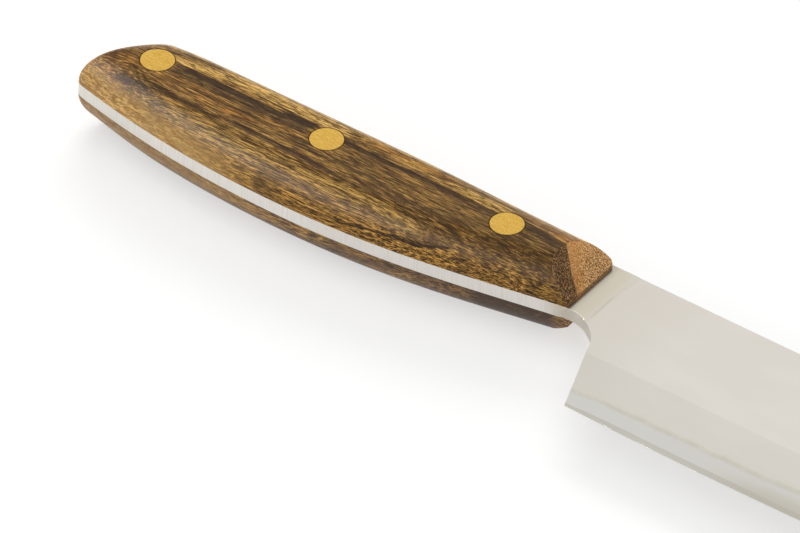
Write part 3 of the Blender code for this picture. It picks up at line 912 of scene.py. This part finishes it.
@dataclass(frozen=True)
class HandleForm:
    """Outline and roundings of the handle, in the knife's own frame."""

    start: Point = (-0.1225, 0.0)  # where the spine side begins to round off
    rear: Point = (-0.1365, -0.0187)
    corner: Point = (-0.1324, -0.0211)  # under the butt
    belly: Point = (-0.0730, -0.02805)
    waist: Point = (-0.0300, -0.02425)
    neck: Point = (0.0011, -0.01874)
    corner_slope: float = 0.250
    waist_slope: float = 0.170
    start_leave: float = 0.41  # this and the next four are shares that the curves' handles reach
    rear_arrive: float = 0.22
    corner_in: float = 0.7
    corner_out: float = 0.5
    neck_arrive: float = 0.2
    far_shoulder: Floats = (0.0058, 0.0100, 0.0096)  # in the middle, at the front and at the butt
    near_shoulder: Floats = (0.0077, 0.0085, 0.0090)
    butt_shoulder: float = 0.0089
    butt_land_power: float = 1.5
    front_blend: float = 0.055
    butt_blend: float = 0.026
    front_corner: float = 0.0014
    half_tang: float = 0.0017
    thickness: float = 0.0085
    facet_reach: float = 0.0079
    curve_steps: int = 26
    butt_steps: int = 36
    corner_steps: int = 8
    side_steps: int = 30
    shoulder_steps: int = 16

    def butt_curve(self) -> list[Point]:
        """From the spine side round the butt to the start of the belly."""
        start, rear, corner = self.start, self.rear, self.corner
        leave = (start[0] - self.start_leave * (start[0] - rear[0]), start[1])
        arrive = (rear[0], rear[1] * (1 - self.rear_arrive))
        turn_in = (rear[0], rear[1] + self.corner_in * (corner[1] - rear[1]))
        back = self.corner_out * (corner[0] - rear[0])
        turn_out = (corner[0] - back, corner[1] + back * self.corner_slope)
        rounding = bezier(start, leave, arrive, rear, self.butt_steps)
        return [start] + rounding + bezier(rear, turn_in, turn_out, corner, self.corner_steps)

    def belly_curve(self) -> list[Point]:
        """From the corner under the butt along the belly to the neck."""
        corner, belly, waist, neck = self.corner, self.belly, self.waist, self.neck
        rear = (belly[0] - corner[0]) / 3
        front = (waist[0] - belly[0]) / 3
        half = (neck[0] - waist[0]) / 2
        leave = (corner[0] + rear, corner[1] - self.corner_slope * rear)
        points = [corner] + bezier(corner, leave, (belly[0] - rear, belly[1]), belly, self.curve_steps)
        arrive = (waist[0] - front, waist[1] - self.waist_slope * front)
        points += bezier(belly, (belly[0] + front, belly[1]), arrive, waist, self.curve_steps)
        leave = (waist[0] + half, waist[1] + self.waist_slope * half)
        arrive = (neck[0] - self.neck_arrive * half, neck[1])
        return points + bezier(waist, leave, arrive, neck, self.curve_steps)

    def outline(self) -> list[Point]:
        """The wood's outline once round, from the near corner of its front."""
        belly = self.belly_curve()
        near_front = height_at(belly, 0.0)
        rise = -self.front_corner - near_front
        steps = self.corner_steps
        front = [(0.0, near_front + rise * step / steps) for step in range(steps + 1)]
        corner = []
        for step in range(1, steps + 1):
            angle = 0.5 * math.pi * step / steps
            x, y = math.cos(angle) - 1, math.sin(angle) - 1
            corner.append((self.front_corner * x, self.front_corner * y))
        butt = self.butt_curve()
        run = butt[0][0] + self.front_corner
        steps = self.side_steps
        side = [(run * step / steps - self.front_corner, 0.0) for step in range(1, steps)]
        return front + corner + side + butt + [point for point in belly[1:] if point[0] < -WELD]

    def land_point(self, point: Point) -> Point:
        """Where a point of the outline lands on the flat of the scale."""
        x, y = point
        depth = -height_at(self.belly_curve(), x)
        to_front = ease(1 + x / self.front_blend)
        to_butt = max(1 - (x - self.rear[0]) / self.butt_blend, 0.0)
        far, near = [
            middle + (front - middle) * to_front + (butt - middle) * ease(to_butt)
            for middle, front, butt in (self.far_shoulder, self.near_shoulder)
        ]
        across = min(-y / depth, 1.0)
        return x + self.butt_shoulder * to_butt**self.butt_land_power, -far - across * (depth - far - near)


@dataclass(frozen=True)
class Scale:
    """One wooden scale, lofted from its outline to its flat, with the slanted facet at the front."""

    form: HandleForm
    side: Side
    front_wall: float  # upright part of its front, above or below the tang
    edge_round: float = 0.0002  # small rounding that sanding leaves along the facet
    snap: float = 0.00012
    seat_radius: float = 0.00415  # head's radius and a hair of dark finish round it
    seat_depth: float = 0.0019
    seat_steps: int = 72

    def block(self) -> Shape:
        """The scale's closed form without its bores, in the knife's own frame."""
        outline = self.form.outline()
        land = [self.form.land_point(point) for point in outline]
        shape = bmesh.new()
        loops = []
        for step in range(self.form.shoulder_steps + 1):
            angle = 0.5 * math.pi * step / self.form.shoulder_steps
            inward = 1 - math.cos(angle)
            height = self.side.value * (self.form.half_tang + self.form.thickness * math.sin(angle))
            corners = [
                shape.verts.new((x + (u - x) * inward, y + (v - y) * inward, height))
                for (x, y), (u, v) in zip(outline, land)
            ]
            loops.append([shape.edges.new(pair) for pair in zip(corners, corners[1:] + corners[:1])])
        for first, second in zip(loops, loops[1:]):
            bmesh.ops.bridge_loops(shape, edges=first + second)
        for ending in (loops[0], loops[-1]):
            bmesh.ops.contextual_create(shape, geom=ending)
        return shape

    def cut_facet(self, shape: Shape) -> None:
        """Cuts the slanted end-grain facet and eases its edges."""
        side = self.side.value
        run = self.form.thickness - self.front_wall
        normal = Vector((run, 0, side * self.form.facet_reach)).normalized()
        start = Vector((0, 0, side * (self.form.half_tang + self.front_wall)))
        cut = bmesh.ops.bisect_plane(
            shape,
            geom=shape.verts[:] + shape.edges[:] + shape.faces[:],
            dist=self.snap,
            plane_co=start,
            plane_no=normal,
            clear_outer=True,
        )
        rim = [item for item in cut["geom_cut"] if isinstance(item, bmesh.types.BMEdge)]
        for vert in {vert for edge in rim for vert in edge.verts}:
            vert.co -= normal * (vert.co - start).dot(normal)
        made = bmesh.ops.contextual_create(shape, geom=rim)
        bmesh.ops.recalc_face_normals(shape, faces=shape.faces)
        round_edges(shape, list(made["faces"][0].edges), self.edge_round, clamp=True, segments=3)

    def seat(self, station: float) -> Shape:
        """A cutter for the seat of the rivet's head at one station in mm."""
        shape = bmesh.new()
        bmesh.ops.create_cone(
            shape,
            cap_ends=True,
            segments=self.seat_steps,
            radius1=self.seat_radius,
            radius2=self.seat_radius,
            depth=2 * self.seat_depth,
        )
        top = self.side.value * (self.form.half_tang + self.form.thickness)
        bmesh.ops.translate(shape, verts=shape.verts, vec=(station / MM, -RIVET_DEPTH / MM, top))
        return shape

    def build(self, datum: Datum, material: Finish) -> Piece:
        """Makes the scale in its place.

        Args:
            datum: The knife's zero.
            material: Its wood.

        Returns:
            The dressed scale.
        """
        shape = self.block()
        self.cut_facet(shape)
        bmesh.ops.remove_doubles(shape, verts=shape.verts, dist=WELD)
        bmesh.ops.recalc_face_normals(shape, faces=shape.faces)
        bmesh.ops.translate(shape, verts=shape.verts, vec=datum.offset())
        node = f"{self.side.name.lower()}_scale"
        piece = new_object(f"{node}_wood", shape, material)
        for station in RIVETS:
            seat = self.seat(station)
            bmesh.ops.translate(seat, verts=seat.verts, vec=datum.offset())
            cut_away(piece, seat, material)
        soften(piece)
        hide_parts(node)
        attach(piece, "root")
        return piece


def cut_away(piece: Piece, shape: Shape, material: Finish) -> None:
    """Takes a cutter's volume off a piece and leaves a plain mesh.

    Args:
        piece: What is cut.
        shape: The cutter, in its place. It is freed.
        material: The finish of the cut.
    """
    cutter = new_object("cutter", shape, material)
    modifier = piece.modifiers.new("cut", "BOOLEAN")
    modifier.operation = "DIFFERENCE"
    modifier.object = cutter
    modifier.solver = "EXACT"
    bpy.context.view_layer.update()
    evaluated = piece.evaluated_get(bpy.context.evaluated_depsgraph_get())
    mesh = bpy.data.meshes.new_from_object(evaluated)
    old = piece.data
    piece.modifiers.clear()
    piece.data = mesh
    mesh.name = piece.name
    bpy.data.meshes.remove(old)
    bpy.data.meshes.remove(cutter.data)  # the cutter goes with its mesh


def soften(piece: Piece) -> None:
    """Shades a piece smoothly between its sharp edges."""
    piece.data.shade_smooth()
    piece.data.set_sharp_from_angle(angle=math.radians(CREASE))
    piece.modifiers.new("even shading", "WEIGHTED_NORMAL").keep_sharp = True


def merged_copy(node: Piece) -> Shape:
    """A welded copy of a CAD node's loose triangles, with flat places joined.

    Args:
        node: The node's object. It isn't changed.

    Returns:
        The copy.
    """
    shape = bmesh.new()
    shape.from_mesh(node.data)
    bmesh.ops.remove_doubles(shape, verts=shape.verts, dist=WELD)
    limit = math.radians(FLAT)
    bmesh.ops.dissolve_limit(shape, angle_limit=limit, verts=shape.verts, edges=shape.edges, delimit=set())
    return shape


@dataclass(frozen=True)
class Blade:
    """Blade with its tang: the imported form, with its free edges broken ahead of the wood."""

    node: str = "blade_with_tang"
    edge_break: float = 0.00014
    wall_height: float = 0.0030  # only walls as high as the whole tang are broken
    break_reach: Span = (-0.0009, 0.0070)  # ahead of the wood's front
    smallest: float = 0.00009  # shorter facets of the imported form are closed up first
    steep: float = 0.3
    level: float = 0.8
    face_crease: float = 2.2  # degrees

    def broken_edges(self, shape: Shape, front: float) -> Edges:
        """Edges between upright walls and the faces of the blade.

        Args:
            shape: The blade's mesh.
            front: Where the wood ends.

        Returns:
            The edges that are broken.
        """
        rear, ahead = (front + reach for reach in self.break_reach)
        picked = []
        for edge in shape.edges:
            if not all(rear < vert.co.x < ahead for vert in edge.verts):
                continue
            wall, face = sorted(edge.link_faces, key=lambda item: abs(item.normal.z))
            heights = [vert.co.z for vert in wall.verts]
            tall = max(heights) - min(heights) > self.wall_height
            if tall and abs(wall.normal.z) < self.steep and abs(face.normal.z) > self.level:
                picked.append(edge)
        return picked

    def crease(self, shape: Shape) -> None:
        """Keeps the ground ridges sharp and the curved walls smooth."""
        for edge in shape.edges:
            if len(edge.link_faces) != 2:
                edge.smooth = False
                continue
            angle = math.degrees(edge.calc_face_angle(0.0))
            walls = all(abs(face.normal.z) < self.steep for face in edge.link_faces)
            edge.smooth = angle < (CREASE if walls else self.face_crease)

    def build(self, front: float, nodes: dict[str, Piece], material: Finish) -> Piece:
        """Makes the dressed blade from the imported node.

        Args:
            front: Where the wood ends.
            nodes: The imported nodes.
            material: Its steel.

        Returns:
            The dressed blade.
        """
        shape = merged_copy(nodes[self.node])
        bmesh.ops.remove_doubles(shape, verts=shape.verts, dist=self.smallest)
        round_edges(shape, self.broken_edges(shape, front), self.edge_break, clamp=False)
        for face in shape.faces:
            face.smooth = True
        self.crease(shape)
        piece = new_object("blade_steel", shape, material)
        piece.modifiers.new("even shading", "WEIGHTED_NORMAL").keep_sharp = True
        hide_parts(self.node)
        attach(piece, "root")
        return piece


@dataclass(frozen=True)
class CutlersRivet:
    """One rivet's headed tube and headed pin."""

    name: str
    rim_break: float = 0.00006

    def build(self, nodes: dict[str, Piece], material: Finish) -> list[Piece]:
        """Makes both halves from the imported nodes."""
        halves = []
        for half in ("tube", "pin"):
            node = f"rivet_{self.name}_{half}"
            shape = merged_copy(nodes[node])
            inner = [edge for edge in shape.edges if len(edge.link_faces) == 2]
            rims = [edge for edge in inner if math.degrees(edge.calc_face_angle(0.0)) > CREASE]
            round_edges(shape, rims, self.rim_break, clamp=True)
            piece = new_object(f"{node}_brass", shape, material)
            soften(piece)
            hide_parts(node)
            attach(piece, "root")
            halves.append(piece)
        return halves


# Studio


@dataclass(frozen=True)
class SoftBox:
    """A soft lamp."""

    name: str
    azimuth: float  # and elevation, in degrees
    elevation: float
    distance: float
    width: float
    height: float
    level: float  # how bright it makes white paper that faces it, where 1 is white
    gloss_only: bool = False  # seen in reflections alone, or else by matt surfaces alone

    def build(self, target: Vector) -> None:
        """Hangs the lamp."""
        data = bpy.data.lights.new(self.name, "AREA")
        data.shape = "RECTANGLE"
        data.size = self.width
        data.size_y = self.height
        data.energy = self.level * (math.pi * self.distance) ** 2
        lamp = aim(self.name, data, target, self.distance, (self.azimuth, self.elevation, 0.0))
        lamp.visible_glossy = self.gloss_only
        lamp.visible_diffuse = not self.gloss_only
        lamp.visible_camera = False


@dataclass(frozen=True)
class Studio:
    """Pale floor, pale surroundings and soft lamps."""

    floor_size: float = 12.0
    paper: str = "#fdfdfc"
    paper_glow: float = 0.50  # share of plain white that the camera and gloss see in the paper
    ambient: float = 0.68
    gloss_low: float = 1.03
    gloss_high: float = 0.62
    gloss_heights: Span = (0.76, 0.98)  # how far up gloss looks, from level to upright
    lit_point: Floats = (-0.03, -0.012, 0.0)  # what the lamps look at, from the knife's zero
    lamps: tuple[SoftBox, ...] = (
        SoftBox("back soft box", 205.0, 28.0, 1.7, 1.5, 0.8, 0.84),
        SoftBox("front fill", 20.0, 22.0, 1.7, 1.6, 0.7, 0.44),
        SoftBox("front window", -56.0, 34.0, 1.8, 2.6, 0.8, 2.8, gloss_only=True),
    )

    def floor(self) -> None:
        """A wide sheet of white paper under the knife, which keeps the knife's shadow."""
        material = bpy.data.materials.new("white paper sweep")
        material.use_nodes = True
        tree = material.node_tree
        shader = tree.nodes["Principled BSDF"]
        shader.inputs["Base Color"].default_value = linear(self.paper)
        shader.inputs["Roughness"].default_value = 1.0
        shader.inputs["Specular IOR Level"].default_value = 0.0
        add = partial(add_node, tree)
        rays = [add("LightPath", output=f"Is {kind} Ray") for kind in ("Camera", "Glossy", "Transmission")]
        seen = add("Math", (rays[0], add("Math", (rays[1], rays[2]), **GREATER)), **GREATER)
        glow = add("Math", (seen, self.paper_glow), **TIMES)
        white = add("Emission", {"Color": WHITE, "Strength": 1.0})
        mixed = add("MixShader", (glow, shader.outputs[0], white))
        tree.links.new(mixed, tree.nodes["Material Output"].inputs["Surface"])
        shape = bmesh.new()
        bmesh.ops.create_grid(shape, x_segments=1, y_segments=1, size=self.floor_size / 2)
        piece = new_object("paper_floor", shape, material)

    def surroundings(self) -> None:
        """White for the camera, a soft gradient for gloss, and an even ambient light for the rest."""
        world = bpy.data.worlds.new("pale studio")
        world.use_nodes = True
        bpy.context.scene.world = world
        add = partial(add_node, world.node_tree)
        upward = add("SeparateXYZ", (add("TexCoord", output="Generated"),), output=2)
        level = add("MapRange", (upward, *self.gloss_heights, self.gloss_low, self.gloss_high), **SMOOTH)
        strengths = (level, self.ambient, 1.0)
        gloss, ambient, white = [add("Background", {"Color": WHITE, "Strength": each}) for each in strengths]
        shiny = add("MixShader", (add("LightPath", output="Is Glossy Ray"), ambient, gloss))
        seen = add("MixShader", (add("LightPath", output="Is Camera Ray"), shiny, white))
        world.node_tree.links.new(seen, world.node_tree.nodes["World Output"].inputs["Surface"])

    def build(self, datum: Datum) -> None:
        """Sets up the floor, the surroundings and the lamps."""
        self.floor()
        self.surroundings()
        for lamp in self.lamps:
            lamp.build(datum.offset() + Vector(self.lit_point))


@dataclass(frozen=True)
class LongLens:
    """The photograph's view: a long lens from the near side, in front of the knife."""

    angles: Floats = (34.3045, 39.4085, 1.7962)  # degrees round, up and of roll
    target: tuple[float, float, float] = (-0.115278, -0.0052944, 0.0102)
    distance: float = 5.2921
    focal: float = 1050.0
    sensor: float = 36.0
    reach: float = 60.0

    def build(self) -> None:
        """Places the camera and makes it the scene's."""
        data = bpy.data.cameras.new("long lens")
        data.lens = self.focal
        data.sensor_width = self.sensor
        data.clip_end = self.reach
        bpy.context.scene.camera = aim("long lens", data, Vector(self.target), self.distance, self.angles)


def main() -> None:
    """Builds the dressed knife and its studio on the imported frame."""
    logging.basicConfig(level=logging.INFO, format="%(name)s: %(message)s")
    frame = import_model()
    datum = Datum.from_frame()
    LOG.info("datum %s", datum)

    LongLens().build()
    Studio().build(datum)

    steel = GroundSteel().build(datum)
    bocote = OiledBocote()
    woods = {Side.RIGHT: bocote.build(datum, UPPER_BOARD), Side.LEFT: bocote.build(datum, LOWER_BOARD)}
    brass = SandedBrass().build(datum)

    form = HandleForm()
    pieces = [Blade().build(datum.front, frame["nodes"], steel)]
    for side, front_wall in ((Side.RIGHT, 0.0010), (Side.LEFT, 0.0025)):
        pieces.append(Scale(form, side, front_wall).build(datum, woods[side]))
    for name in ("front", "middle", "rear"):
        pieces += CutlersRivet(name).build(frame["nodes"], brass)
    for piece in pieces:
        LOG.info("%s: %d faces", piece.name, len(piece.data.polygons))

    bpy.context.scene.view_settings.view_transform = "Standard"
    bpy.context.view_layer.update()


if __name__ == "__main__":
    main()
